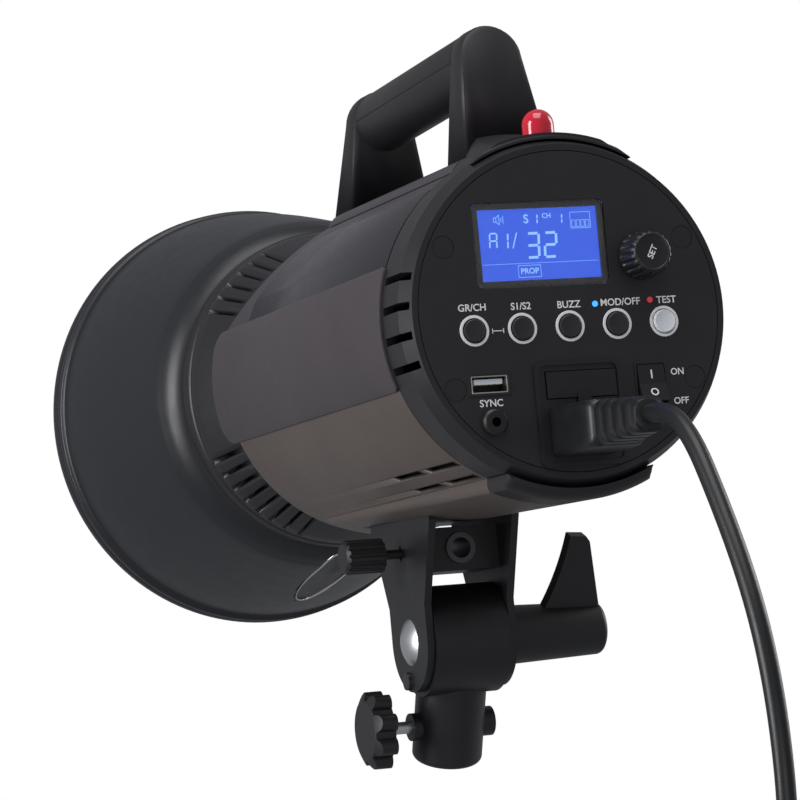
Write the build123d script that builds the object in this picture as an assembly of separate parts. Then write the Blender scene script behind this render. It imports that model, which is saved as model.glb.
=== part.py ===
from build123d import *
import os
from math import atan2, cos, degrees, pi, radians, sin, sqrt, tan

# Studio flash head (monolight) on its tilting stand bracket, in millimetres.
# Row frame: +Z up along the stand socket, origin at the socket's mouth, +Y the way the light goes,
# so the control panel faces -Y. Head pieces are drawn in the head's own frame, whose origin is the
# middle of the control panel and whose +Y is the lamp axis, and headPlace then tilts them.

os.makedirs("parts", exist_ok=True)

# driving dimensions
restTilt = 23.5            # lamp axis below level at rest, degrees
tiltAxisY = 148.3          # tilt axis in the head frame
tiltAxisZ = -114.2
socketDrop = 51.5          # tilt axis above the socket's mouth
panelR = 60.0              # control panel
shellR = 65.0              # upper shell, outside
shellIn = 61.5             # both shells, inside
lowerR = 65.8              # lower shell, outside
sideR = 66.8               # side panels, outside
ringDepth = 24.0           # rear vent ring
shellFront = 222.0         # front edge of the upper shell at the sides
collarFront = 266.0        # front face of the collar
boreR = 52.0               # collar bore for the reflector mount
rimR = 94.0                # reflector rim
rimY = 378.2
skin = 1.5                 # reflector sheet

# clearances
seam = 0.3                 # between pieces that are parted by a visible line
slip = 0.35                # round a pushed button, a drawer or a rocker
running = 0.05             # radial, on a turning shaft

headPlace = Pos(0, 0, socketDrop) * Rot(-restTilt, 0, 0) * Pos(0, -tiltAxisY, -tiltAxisZ)
standPlace = Pos(0, 0, socketDrop)


def save(node, shape, place=headPlace):
    export_step(place * shape, f"parts/{node}.step")


def slab(sketch, y0, y1):
    """A flat outline in X and Z, given thickness from y0 to y1."""
    return extrude(Plane.XZ.offset(-y1) * sketch, amount=y1 - y0)


def block(x0, x1, y0, y1, z0, z1):
    return Pos((x0 + x1) / 2, (y0 + y1) / 2, (z0 + z1) / 2) * Box(x1 - x0, y1 - y0, z1 - z0)


def rodY(x, z, r, y0, y1):
    return slab(Pos(x, z) * Circle(r), y0, y1)


def rodX(y, z, r, x0, x1, r1=None):
    plane = Plane(origin=(x0, y, z), x_dir=(0, 1, 0), z_dir=(1, 0, 0))
    if r1 is None:
        return extrude(plane * Circle(r), amount=x1 - x0)
    return plane * Pos(0, 0, (x1 - x0) / 2) * Cone(r, r1, x1 - x0)


def turned(points, start=0.0, end=360.0):
    """Revolves (radius, y) points about the lamp axis, from angle start to end, measured from +X to +Z."""
    face = make_face(Polyline(*points, close=True))
    return Rot(0, -end, 0) * revolve(face, Axis.Y, end - start)


def sideCut(points, halfWidth):
    """A prism along X from (y, z) points."""
    plane = Plane(origin=(-halfWidth, 0, 0), x_dir=(0, 1, 0), z_dir=(1, 0, 0))
    return extrude(plane * make_face(Polyline(*points, close=True)), amount=2 * halfWidth)


def roundRect(x0, x1, z0, z1, r):
    return Pos((x0 + x1) / 2, (z0 + z1) / 2) * RectangleRounded(x1 - x0, z1 - z0, r)


# ---------------------------------------------------------------- rear ring and control panel
panelT = 3.2
lipR = 62.6
chamferY = 7.0
ledgeR = 57.5
ledgeT = 2.8
windowAngles = (14.5, 4.5, -5.5, -15.5)
windowH = 3.0


def rearRing():
    outline = [(panelR + seam, 0), (lipR, 0), (shellR + 0.5, chamferY), (shellR + 0.5, ringDepth)]
    outline += [(shellIn, ringDepth), (shellIn, panelT + ledgeT), (ledgeR, panelT + ledgeT)]
    outline += [(ledgeR, panelT), (panelR + seam, panelT)]
    ring = turned(outline)
    for angle in windowAngles:
        for side in (0, 180):
            turn = -angle if side == 0 else 180 + angle
            slot = block(panelR + seam + 0.2, 80, 1.2, ringDepth - 1.5, -windowH / 2, windowH / 2)
            ring -= Rot(0, turn, 0) * slot
    return ring


save("rear_ring", rearRing())

displayX = (-35.7, 17.6)
displayZ = (9.4, 41.5)
displayCorner = 2.5
screenX = (-33.0, 15.0)
screenZ = (12.2, 39.0)
screenY = 2.3
bezelY = 1.5
buttonX = [-38.74 + 19.12 * i for i in range(5)]
buttonZ = -5.8
buttonR = 4.4
flangeR = 5.6
dialX, dialZ = 30.3, 19.0
dialShaftR = 3.0
ledR = 1.1
ledPlaces = {"led_blue": (10.3, 2.0), "led_red": (32.7, 2.5)}
usbX = (-43.1, -26.1)
usbZ = (-30.3, -21.3)
jackX, jackZ = -34.4, -40.0
jackNutR = 4.9
jackSleeveR = 4.0
jackBoreR = 1.8
inletX = (-17.2, 18.0)
inletZ = (-58.0, -18.4)
inletCorner = 3.5
rockerX, rockerZ = 30.25, -30.65
rockerHalfW = 5.35
rockerOpenW = rockerHalfW + slip
rockerOpenH = 9.1
capPlaces = [(-48.2, 25.6), (48.2, 25.6), (-48.2, -27.3), (48.2, -27.3)]
capR = 4.2
capDepth = 1.5
standoffR = 2.0
boardY = 8.0
boardT = 1.6
boardR = 57.0


def controlPanel():
    panel = rodY(0, 0, panelR, 0, panelT)
    for x, z in capPlaces:
        panel += rodY(x, z, standoffR, panelT, boardY)
        panel -= rodY(x, z, capR + seam / 2, -1, capDepth)
    panel -= slab(roundRect(*displayX, *displayZ, displayCorner), -1, panelT + 1)
    for x in buttonX:
        panel -= rodY(x, buttonZ, buttonR + slip, -1, panelT + 1)
    for x, z in ledPlaces.values():
        panel -= rodY(x, z, ledR, -1, panelT + 1)
    panel -= rodY(dialX, dialZ, dialShaftR + running, -1, panelT + 1)
    panel -= slab(roundRect(*usbX, *usbZ, 0.6), -1, panelT + 1)
    panel -= rodY(jackX, jackZ, jackSleeveR, -1, panelT + 1)
    panel -= slab(roundRect(*inletX, *inletZ, inletCorner), -1, panelT + 1)
    panel -= block(rockerX - rockerOpenW, rockerX + rockerOpenW, -1, panelT + 1,
                   rockerZ - rockerOpenH, rockerZ + rockerOpenH)
    return panel


save("control_panel", controlPanel())

caps = [rodY(x, z, capR, 0.15, capDepth) for x, z in capPlaces]
save("panel_caps", Compound(children=caps))

# display: a module behind the panel, a bezel in the cut-out and a clear lens over it
moduleMargin = 1.5
lensT = 0.7


def displayModule():
    back = block(displayX[0] - moduleMargin, displayX[1] + moduleMargin, panelT, boardY - 1.0,
                 displayZ[0] - moduleMargin, displayZ[1] + moduleMargin)
    return back + block(*screenX, screenY, panelT, *screenZ)


save("display_module", displayModule())
bezel = slab(roundRect(*displayX, *displayZ, displayCorner), bezelY, panelT)
bezel -= block(*screenX, -1, panelT + 1, *screenZ)
save("display_bezel", bezel)
save("display_lens", slab(roundRect(*displayX, *displayZ, displayCorner), bezelY - lensT, bezelY))

housingMargin = 2.2
housingBack = 18.0


def controlBoard():
    board = rodY(0, 0, boardR, boardY, boardY + boardT)
    board -= block(inletX[0] - 1, inletX[1] + 1, boardY - 1, boardY + 3, -80, inletZ[1] + 1)
    half = rockerOpenW + housingMargin + 1
    board -= block(rockerX - half, rockerX + half, boardY - 1, boardY + 3,
                   rockerZ - rockerOpenH - housingMargin - 1, rockerZ + rockerOpenH + housingMargin + 1)
    return board


save("control_board", controlBoard())

encoderHalf = 6.0
encoder = block(dialX - encoderHalf, dialX + encoderHalf, panelT, boardY,
                dialZ - encoderHalf, dialZ + encoderHalf)
encoder -= rodY(dialX, dialZ, dialShaftR + running, panelT - 1, boardY + 1)
save("dial_encoder", encoder)

dialBaseR = 9.0
dialTopR = 8.3
dialFaceR = 7.3
dialFront = -12.4
dialFlutes = 18
dialFluteR = 0.7


def setDial():
    profile = [(0, -0.4), (dialBaseR, -0.4), (dialBaseR, -2.4), (dialTopR, dialFront + 1.4)]
    profile += [(dialFaceR, dialFront), (dialFaceR - 0.9, dialFront), (dialFaceR - 1.3, dialFront + 0.4)]
    profile += [(0, dialFront + 0.4)]
    knob = turned(profile)
    for i in range(dialFlutes):
        angle = radians(360 / dialFlutes * i)
        r = dialBaseR + 0.05
        knob -= rodY(r * cos(angle), r * sin(angle), dialFluteR, dialFront - 1, -2.4)
    knob += rodY(0, 0, dialShaftR, -0.4, boardY - 1.0)
    return Pos(dialX, 0, dialZ) * knob


save("set_dial", setDial())

buttonFront = -1.3
flangeT = 1.2


def pushButton(x):
    cap = rodY(x, buttonZ, buttonR, buttonFront, panelT + slip)
    cap = fillet(cap.edges().sort_by(Axis.Y)[0], 0.7)
    return cap + rodY(x, buttonZ, flangeR, panelT + slip, panelT + slip + flangeT)


for i, x in enumerate(buttonX):
    save(f"button_{i + 1}", pushButton(x))

for node, (x, z) in ledPlaces.items():
    led = rodY(x, z, ledR, -0.35, panelT)
    save(node, led)

usbFace = 0.9
usbBack = boardY
usbMouthX = 6.6
usbMouthZ = 2.75
usbMid = (sum(usbX) / 2, sum(usbZ) / 2)


def usbPort():
    x, z = usbMid
    shell = slab(roundRect(*usbX, *usbZ, 0.6), usbFace, usbBack)
    shell -= block(x - usbMouthX, x + usbMouthX, 0, usbBack - 0.6, z - usbMouthZ, z + usbMouthZ)
    return shell + block(x - 5.6, x + 5.6, 2.0, usbBack, z + 0.2, z + 2.0)


save("usb_port", usbPort())

jackFront = -3.0
jackBoreEnd = boardY - 1.0


def syncJack():
    nut = rodY(jackX, jackZ, jackNutR, jackFront, 0)
    nut = chamfer(nut.edges().sort_by(Axis.Y)[0], 0.8)
    body = nut + rodY(jackX, jackZ, jackSleeveR, 0, boardY)
    return body - rodY(jackX, jackZ, jackBoreR, jackFront - 1, jackBoreEnd)


save("sync_jack", syncJack())

# mains inlet with its fuse drawer above the plug's cavity
inletRim = -1.2
inletFace = -0.4
inletBack = 20.0
inletBodyR = 57.0
rimW = 1.8
plugX = 0.5
plugZ = -45.0
plugInW, plugInH = 23.8, 15.6
plugInDepth = 15.0
drawerX = (-12.4, 15.6)
drawerZ = (-32.4, -22.6)
drawerFront = -1.0
drawerBack = 14.0
tabX = (-0.4, 4.8)
tabDrop = 1.6


def inletModule():
    body = slab(roundRect(*inletX, *inletZ, inletCorner), inletRim, inletBack)
    body &= rodY(0, 0, panelR, inletRim, panelT) + rodY(0, 0, inletBodyR, panelT, inletBack)
    face = roundRect(inletX[0] + rimW, inletX[1] - rimW, inletZ[0] + rimW, inletZ[1] - rimW, inletCorner - 1)
    body -= slab(face, inletRim - 1, inletFace)
    body -= block(plugX - plugInW / 2 - slip, plugX + plugInW / 2 + slip, inletRim - 1, plugInDepth + 1,
                  plugZ - plugInH / 2 - slip, plugZ + plugInH / 2 + slip)
    body -= block(drawerX[0] - slip, drawerX[1] + slip, inletRim - 1, drawerBack + slip,
                  drawerZ[0] - slip, drawerZ[1] + slip)
    body -= block(tabX[0] - slip, tabX[1] + slip, inletRim - 1, 3,
                  drawerZ[0] - tabDrop - slip, drawerZ[0])
    return body


save("inlet_module", inletModule())


def fuseDrawer():
    body = block(*drawerX, drawerFront, drawerBack, *drawerZ)
    return body + block(*tabX, drawerFront - 0.6, 2.4, drawerZ[0] - tabDrop, drawerZ[0] + 1.6)


save("fuse_drawer", fuseDrawer())

# rocker switch: a V-shaped rocker on two stub pins in a housing behind the panel
rockerPivotY = 5.6
rockerTilt = 14.0
rockerPinR = 1.2
pinReach = 1.4
rockerTip = (-7.9, 7.2)


def rocker():
    tipY, tipZ = rockerTip
    outline = [(tipY, tipZ), (tipY + 1.1, 0), (tipY, -tipZ), (-1.0, -tipZ), (1.8, -4.2), (1.8, 4.2), (-1.0, tipZ)]
    body = sideCut(outline, rockerHalfW)
    body += rodX(0, 0, rockerPinR, -rockerHalfW - pinReach - slip, rockerHalfW + pinReach + slip)
    return Pos(rockerX, rockerPivotY, rockerZ) * Rot(-rockerTilt, 0, 0) * body


save("rocker", rocker())


def rockerHousing():
    outW = rockerOpenW + housingMargin
    outH = rockerOpenH + housingMargin
    body = block(rockerX - outW, rockerX + outW, panelT, housingBack, rockerZ - outH, rockerZ + outH)
    body -= block(rockerX - rockerOpenW, rockerX + rockerOpenW, panelT - 1, 12.0,
                  rockerZ - rockerOpenH, rockerZ + rockerOpenH)
    pinHole = rodX(rockerPivotY, rockerZ, rockerPinR + running,
                   rockerX - rockerOpenW - pinReach - slip, rockerX + rockerOpenW + pinReach + slip)
    return body - pinHole


save("rocker_housing", rockerHousing())

# ---------------------------------------------------------------- casing
sideLow = -21.5            # edges of the side panels, degrees from +X
sideHigh = 19.8
topCutFront = 165.0        # where the upper shell's slanted front edge starts, at the top tray's end
topCutZ = (22.0, 59.0)
shelfY = (113.0, 184.0)    # flat seat for the bracket under the lower shell
seatZ = -63.6
plateOut = 19.2            # outer faces of the bracket's plates
slotRows = (-52.5, -61.0)
slotRuns = ((26.0, 59.0), (63.0, 94.0))
lowerFront = 215.0


def upperShell():
    shell = turned([(shellIn, ringDepth), (shellR, ringDepth), (shellR, shellFront), (shellIn, shellFront)],
                   sideLow, 180 - sideLow)
    slant = [(shellFront + 1, topCutZ[0]), (topCutFront, topCutZ[1]), (topCutFront, 90), (shellFront + 1, 90)]
    return shell - sideCut(slant, 80)


save("upper_shell", upperShell())


def bracketSeat():
    return block(-plateOut - seam, plateOut + seam, *shelfY, -90, seatZ)


def lowerShell():
    shell = turned([(shellIn, ringDepth), (lowerR, ringDepth), (lowerR, lowerFront), (shellIn, lowerFront)],
                   180 - sideLow, 360 + sideLow)
    for row in slotRows:
        for run in slotRuns:
            for turn in (-row, 180 + row):
                shell -= Rot(0, turn, 0) * block(55, 75, *run, -1.1, 1.1)
    return shell - bracketSeat()


save("lower_shell", lowerShell())

keelY = (3.0, 206.0)
keelAngles = (243.5, 296.5)
keelRear, keelFront = 4.6, 1.4


def keelPad():
    outline = [(lowerR, keelY[0]), (lowerR + keelRear, keelY[0] + 3), (lowerR + keelFront, keelY[1]),
               (lowerR, keelY[1])]
    return turned(outline, *keelAngles) - bracketSeat()


save("keel_pad", keelPad())

panelFront = 228.0
panelCorner = 9.0


def sidePanel(side):
    outline = [(shellR, ringDepth), (sideR, ringDepth), (sideR, panelFront), (shellR, panelFront)]
    panel = turned(outline, 180 - sideHigh, 180 - sideLow)
    low, high = shellR * sin(radians(sideLow)), shellR * sin(radians(sideHigh))
    plan = Plane(origin=(-80, 0, 0), x_dir=(0, 1, 0), z_dir=(1, 0, 0))
    mid = (ringDepth + panelFront) / 2 - 20
    shape = Pos(mid, (low + high) / 2) * RectangleRounded(panelFront - ringDepth + 40, high - low + 1.2, panelCorner)
    panel &= extrude(plan * shape, amount=80)
    return panel if side < 0 else mirror(panel, Plane.YZ)


save("side_panel_left", sidePanel(-1))
save("side_panel_right", sidePanel(1))

labelY = (26.0, 190.0)
labelT = 0.4
labelAngles = (128.5, 160.0)


def sideLabel():
    label = turned([(shellR, labelY[0]), (shellR + labelT, labelY[0]), (shellR + labelT, labelY[1]),
                    (shellR, labelY[1])], *labelAngles)
    slant = [(labelY[1] - 14, topCutZ[0] - 6), (topCutFront - 15, topCutZ[1]), (topCutFront - 15, 90),
             (labelY[1] + 14, 90), (labelY[1] + 14, topCutZ[0] - 6)]
    return label - sideCut(slant, 80)


save("side_label", sideLabel())

trayR = 67.5
trayHalf = 32.5
trayY = (3.0, 165.0)


def topTray():
    ringGap = seam / 10
    profile = [(shellR, ringDepth), (trayR, ringDepth), (trayR, trayY[1]), (shellR, trayY[1])]
    tray = turned(profile, 40, 140)
    rear = [(shellR + 0.5, chamferY), (trayR, trayY[0] + 1), (trayR, ringDepth), (shellR + 0.5, ringDepth)]
    tray += turned(rear, 40, 140)
    return tray & block(-trayHalf, trayHalf, 0, 200, 40, 90)


save("top_tray", topTray())

# ---------------------------------------------------------------- handle, fairing and slave dome
gripR = 12.6
postR = 12.9
postInner = (66.0, 175.0)
postTop = (55.0, 185.0)
postFoot = (43.0, 198.0)
gripZ = (105.6, 101.6)     # grip axis height at the two posts
footHalf = 18.6
footZ = 60.0


def gripAxis(y):
    share = (y - postInner[0]) / (postInner[1] - postInner[0])
    return gripZ[0] + share * (gripZ[1] - gripZ[0])


def handlePost(i):
    zTop = gripZ[i]
    side = [(postInner[i], footZ), (postInner[i], zTop + postR + 1), (postTop[i], zTop + postR + 1),
            (postFoot[i], footZ)]
    flank = make_face(Polyline((-postR, zTop), (-footHalf, footZ), (footHalf, footZ), (postR, zTop), close=True))
    face = flank + Pos(0, zTop) * Circle(postR)
    post = sideCut(side, 40) & slab(face, 30, 210)
    return post - turned([(0, 0), (trayR, 0), (trayR, 230), (0, 230)])


rearPost = handlePost(0)
save("handle_rear_post", rearPost)
frontPost = handlePost(1)
frontPost -= block(-60, 60, topCutFront, 240, 0, 50)
save("handle_front_post", frontPost)

gripLean = degrees(atan2(gripZ[0] - gripZ[1], postInner[1] - postInner[0]))


def gripHalf(side):
    mid = sum(postInner) / 2
    rod = Pos(0, mid, gripAxis(mid)) * Rot(-gripLean, 0, 0) * Rot(90, 0, 0) * Cylinder(gripR, 140)
    rod &= block(-20, 20, *postInner, 60, 140)
    half = [(postInner[0] - 5, gripAxis(postInner[0] - 5)), (postInner[1] + 5, gripAxis(postInner[1] + 5)),
            (postInner[1] + 5, gripAxis(0) + side * 40), (postInner[0] - 5, gripAxis(0) + side * 40)]
    return rod & sideCut(half, 30)


save("grip_upper", gripHalf(1))
save("grip_lower", gripHalf(-1))

fairingY = (4.5, 48.0)
fairingHalf = (27.0, 17.5)
domeY = 14.2
domeR = 6.15
domeSeat = 68.0
domeTop = 78.1


def topFairing():
    outline = [(trayR, fairingY[0]), (trayR + 0.4, fairingY[0]), (trayR + 6.6, fairingY[1]), (trayR, fairingY[1])]
    body = turned(outline, 50, 130)
    plan = Polyline((-fairingHalf[0], 0), (-fairingHalf[0], 12), (-fairingHalf[1], fairingY[1]),
                    (fairingHalf[1], fairingY[1]), (fairingHalf[0], 12), (fairingHalf[0], 0), close=True)
    body &= extrude(make_face(plan), amount=100)
    body -= Pos(0, domeY, domeSeat + 10) * Cylinder(domeR, 20)
    return body - rearPost


save("top_fairing", topFairing())
domeMid = domeTop - domeR
dome = Pos(0, domeY, (domeSeat + domeMid) / 2) * Cylinder(domeR, domeMid - domeSeat)
dome += Pos(0, domeY, domeMid) * Sphere(domeR)
dome &= Pos(0, domeY, domeSeat + 20) * Cylinder(domeR, 40)
save("slave_dome", dome)

# ---------------------------------------------------------------- collar, reflector and lamps
neckR = 58.0
neckBack = 150.0
neckWall = 3.0
louvreTop = [118.5 + 6 * i for i in range(6)]
louvreLow = [-112.5 - 6 * i for i in range(8)]
baseBack = 230.0


def frontCollar():
    outline = [(neckR - neckWall, shellFront - 6), (neckR, shellFront - 6), (neckR, baseBack), (66.3, 250), (67.2, 256.5)]
    outline += [(68.0, 257.5), (68.0, collarFront - 1.2), (66.8, collarFront), (boreR, collarFront)]
    outline += [(boreR, baseBack), (neckR - neckWall, baseBack)]
    collar = turned(outline)
    flange = turned([(neckR, lowerFront - 5), (shellIn, lowerFront - 5), (shellIn, lowerFront - 1),
                     (neckR, lowerFront - 1)])
    sleeve = turned([(neckR - neckWall, neckBack), (neckR, neckBack), (neckR, shellFront - 6),
                     (neckR - neckWall, shellFront - 6)])
    rear = turned([(neckR, neckBack), (shellIn, neckBack), (shellIn, neckBack + 4), (neckR, neckBack + 4)])
    collar = collar + sleeve + rear
    collar += flange & block(-70, 70, 0, 300, -70, 20)
    for angle in louvreTop + louvreLow:
        for turn in (angle, 180 - angle):
            collar -= Rot(0, -turn, 0) * block(neckR + 1.2, 75, baseBack + 1, 252.5, -1.1, 1.1)
    return collar


save("front_collar", frontCollar())

reflectorNeckR = 48.6
lugR = 51.0
lugT = 3.2
neckEnd = 240.0
mountY = (neckEnd + lugT + slip, 262.0)
mountIn = reflectorNeckR + 0.4
lugCount = 3
lugSpan = 26.0
lugStart = 77.0


def mountRing():
    ring = turned([(mountIn, mountY[0]), (boreR, mountY[0]), (boreR, mountY[1]), (mountIn, mountY[1])])
    for i in range(lugCount):
        start = lugStart + 22 + 360 / lugCount * i + 10
        gap = [(mountIn - 1, mountY[0] - 1), (lugR + 0.5, mountY[0] - 1), (lugR + 0.5, mountY[1] + 1),
               (mountIn - 1, mountY[1] + 1)]
        ring -= turned(gap, start, start + lugSpan + 4)
    return ring


save("mount_ring", mountRing())

shoulderY = collarFront + 0.6
bellOut = [(62.0, shoulderY), (71.0, 271.5), (76.0, 280.5), (81.4, 305.0), (86.6, 330.0), (90.2, 350.0), (91.6, 366.0)]
umbrellaZ = -78.4
umbrellaHoleR = 8.2


def bellWall(inset):
    """The bell's curve, as points moved inwards by the sheet's thickness."""
    moved = []
    for i, (r, y) in enumerate(bellOut):
        r0, y0 = bellOut[max(i - 1, 0)]
        r1, y1 = bellOut[min(i + 1, len(bellOut) - 1)]
        run = sqrt((r1 - r0) ** 2 + (y1 - y0) ** 2)
        moved.append((r - inset * (y1 - y0) / run, y + inset * (r1 - r0) / run))
    moved[0] = (bellOut[0][0], bellOut[0][1] + inset)
    moved[-1] = (bellOut[-1][0] - inset, bellOut[-1][1])
    return moved


def reflector():
    outer, inner = bellWall(0), bellWall(skin)
    rimIn = outer[-1][0]
    wall = Polyline(*outer)
    back = Polyline(*inner)
    rim = Polyline(outer[-1], (rimR - 0.8, 367.2), (rimR, 368.4), (rimR, rimY - 1.2), (rimR - 1.2, rimY),
                   (rimIn, rimY), (rimIn - skin, rimY - skin), inner[-1])
    neck = Polyline(outer[0], (reflectorNeckR, shoulderY), (reflectorNeckR, neckEnd),
                    (reflectorNeckR - skin, neckEnd), (reflectorNeckR - skin, shoulderY + skin), inner[0])
    bell = revolve(make_face([wall, back, rim, neck]), Axis.Y)
    for i in range(lugCount):
        start = lugStart + 360 / lugCount * i
        lug = [(reflectorNeckR - 0.1, neckEnd), (lugR, neckEnd), (lugR, neckEnd + lugT),
               (reflectorNeckR - 0.1, neckEnd + lugT)]
        bell += turned(lug, start, start + lugSpan)
    return bell - rodY(0, umbrellaZ, umbrellaHoleR, shoulderY + 1.6, rimY - 12)


save("reflector", reflector())

lampBase = rodY(0, 0, boreR, baseBack, 236.0)
for i in range(12):
    angle = radians(15 + 30 * i)
    lampBase -= rodY(43 * cos(angle), 43 * sin(angle), 2.5, baseBack - 1, 237)
save("lamp_base", lampBase)

tubeRingR = 30.0
tubeR = 4.5
tubeY = 262.0


def flashTube():
    ring = Pos(0, tubeY, 0) * Rot(90, 0, 0) * Torus(tubeRingR, tubeR)
    for x in (-tubeRingR, tubeRingR):
        ring += rodY(x, 0, tubeR, 236.0, tubeY)
    return ring


save("flash_tube", flashTube())

bulbR = 15.0
bulbY = 276.0


def modellingLamp():
    lamp = rodY(0, 0, 13.5, 236.0, 252.0) + rodY(0, 0, 11.0, 252.0, bulbY)
    return lamp + Pos(0, bulbY, 0) * Sphere(bulbR)


save("modelling_lamp", modellingLamp())

chassisZ = -30.0
chassisT = 2.0
chassis = block(-shellIn, shellIn, ringDepth + 2, 148.0, chassisZ - chassisT, chassisZ)
save("chassis_plate", chassis & rodY(0, 0, shellIn, 0, 200))
capacitorR = 17.0
cans = []
for x in (-19, 19):
    for y in (32, 92):
        cans.append(rodY(x, chassisZ + capacitorR, capacitorR, y, y + 52))
save("capacitors", Compound(children=cans))

# ---------------------------------------------------------------- bracket that tilts with the head
plateT = 3.0
plateIn = plateOut - plateT
plateWide = 33.5
plateNarrow = 20.0
boltR = 4.0
blockY = (133.0, 163.6)
blockZ = (-87.3, -69.8)
bushR = 6.2
umbrellaBoreR = 4.1
screwY = 150.0
screwR = 1.9
plateScrew = (153.0, -129.5)
plateScrewR = 1.5


def bracketPlate(side):
    y, z = tiltAxisY, tiltAxisZ
    outline = [(y - plateWide, seatZ), (y + plateWide, seatZ), (y + plateWide, seatZ - 4),
               (y + plateNarrow, -100), (y + plateNarrow, z), (y - plateNarrow, z), (y - plateNarrow, -100),
               (y - plateWide, seatZ - 4)]
    x0 = plateIn if side > 0 else -plateOut
    plate = Pos(x0 + plateT / 2, 0, 0) * sideCut(outline, plateT / 2)
    plate += rodX(y, z, plateNarrow, x0, x0 + plateT)
    return plate - rodX(y, z, boltR, x0 - 1, x0 + plateT + 1)


def forkBracket():
    bracket = bracketPlate(-1) + bracketPlate(1)
    bracket += block(-plateIn, plateIn, shelfY[0] + 1.8, shelfY[1] - 2.2, seatZ - plateT, seatZ)
    bracket -= rodX(screwY, umbrellaZ, screwR + 0.6, -plateOut - 1, -plateIn + 1)
    bracket -= block(-plateOut - 1, -plateIn + 1, screwY - 0.7, screwY + 0.7, umbrellaZ - 3.2, umbrellaZ + 3.2)
    bracket -= rodX(*plateScrew, plateScrewR, -plateOut - 1, -plateIn + 1)
    return bracket


save("fork_bracket", forkBracket())


def umbrellaBlock():
    body = block(-plateIn, plateIn, *blockY, *blockZ)
    body -= rodY(0, umbrellaZ, bushR, blockY[0] - 1, blockY[1] + 1)
    return body - rodX(screwY, umbrellaZ, screwR + running, -plateIn - 1, 0)


save("umbrella_block", umbrellaBlock())
bush = rodY(0, umbrellaZ, bushR, blockY[0] - 1.2, blockY[1])
bush -= rodY(0, umbrellaZ, umbrellaBoreR, blockY[0] - 5, blockY[1] + 5)
bush -= rodX(screwY, umbrellaZ, screwR + running, -plateIn - 1, 0)
save("umbrella_bush", bush)

knobX = (-44.0, -27.5)
thumbR = 6.9
thumbRibs = 14


def umbrellaScrew():
    knob = rodX(screwY, umbrellaZ, thumbR, *knobX)
    knob = chamfer(knob.edges().sort_by(Axis.X)[0], 1.4)
    for i in range(thumbRibs):
        angle = radians(360 / thumbRibs * i)
        r = thumbR + 0.4
        knob -= rodX(screwY + r * cos(angle), umbrellaZ + r * sin(angle), 1.0, knobX[0] - 1, knobX[1] + 1)
    return knob + rodX(screwY, umbrellaZ, screwR, knobX[1], -umbrellaBoreR - 0.4)


save("umbrella_screw", umbrellaScrew())
small = rodX(*plateScrew, plateScrewR, -plateOut, -plateIn) + rodX(*plateScrew, 3.6, -plateOut - 1.4, -plateOut)
save("plate_screw", small)

# ---------------------------------------------------------------- tilt bolt, lever, barrel and star knob
barrelR = 22.0
barrelHalf = plateIn - 0.4
socketR = 14.2
spigotR = 8.1
spigotDepth = 38.0
bossZ = -36.7
starScrewR = 2.5
headR = 9.3
hubX = (plateOut + 0.4, 63.5)
hubR = (12.1, 10.6)
boltEnd = 54.0


def tiltBolt():
    shank = rodX(0, 0, boltR, -plateOut, boltEnd)
    ball = Pos(-plateOut + 12.4, 0, 0) * Sphere(15.5)
    return shank + (ball & rodX(0, 0, headR, -plateOut - 6, -plateOut))


save("tilt_bolt", tiltBolt(), standPlace)


def tiltLever():
    hub = rodX(0, 0, hubR[0], *hubX, r1=hubR[1])
    hub = fillet(hub.edges().filter_by(GeomType.CIRCLE).sort_by(Axis.X)[-1], 2.5)
    edge = ThreePointArc((35.0, 6), (42.0, 22.0), (46.7, 41.5))
    tip = Polyline((46.7, 41.5), (53.6, 41.0), (55.4, 38.6), (62.4, 6), (35.0, 6))
    blade = extrude(Plane.XZ.offset(-2.6) * make_face([edge, tip]), amount=5.2)
    return hub + blade - rodX(0, 0, boltR + running, hubX[0] - 1, boltEnd + 0.5)


save("tilt_lever", tiltLever(), standPlace)


def standBarrel():
    body = rodX(0, 0, barrelR, -barrelHalf, barrelHalf)
    tube = Pos(0, 0, -socketDrop / 2 - 2) * Cylinder(socketR, socketDrop - 4)
    tube = fillet(tube.edges().sort_by(Axis.Z)[0], 2.5)
    tube = Pos(0, 0, -socketDrop - tube.bounding_box().min.Z) * tube
    body += tube
    body += rodX(0, bossZ, 5.6, -socketR - 2.6, 0) + rodX(0, bossZ, 6.0, 0, socketR + 4.0)
    body -= Pos(0, 0, -socketDrop + spigotDepth / 2 - 1) * Cylinder(spigotR, spigotDepth + 2)
    body -= rodX(0, bossZ, starScrewR + running, -socketR - 5, 0)
    return body - rodX(0, 0, boltR + running, -barrelHalf - 1, barrelHalf + 1)


save("stand_barrel", standBarrel(), standPlace)

starX = (-36.4, -27.4)
starR = 12.4
lobeR = 3.5
lobes = 8


def starKnob():
    knob = rodX(0, bossZ, starR, *starX)
    for i in range(lobes):
        angle = radians(360 / lobes * i + 10)
        knob += rodX(starR * cos(angle), bossZ + starR * sin(angle), lobeR, *starX)
    dish = Pos(starX[0] + 26, 0, bossZ) * Sphere(28.5)
    return (knob & dish) - rodX(0, bossZ, starScrewR, starX[1] - 5, starX[1] + 1)


save("star_knob", starKnob(), standPlace)
save("star_screw", rodX(0, bossZ, starScrewR, starX[1] - 5, -spigotR - 0.3), standPlace)

# ---------------------------------------------------------------- mains plug and cord
cordR = 3.5
plugBlock = ((12.9, 9.3), (10.9, 9.0))
plugShoulder = -33.0
plugEnd = -62.0
reliefHalf = ((9.6, 8.4), (6.4, 6.6))


def taperedBlock(y0, y1, half0, half1, corner):
    faces = []
    for y, (w, h) in ((y0, half0), (y1, half1)):
        faces.append(Plane.XZ.offset(-y) * Pos(plugX, plugZ) * RectangleRounded(2 * w, 2 * h, corner))
    return loft(faces)


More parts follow.
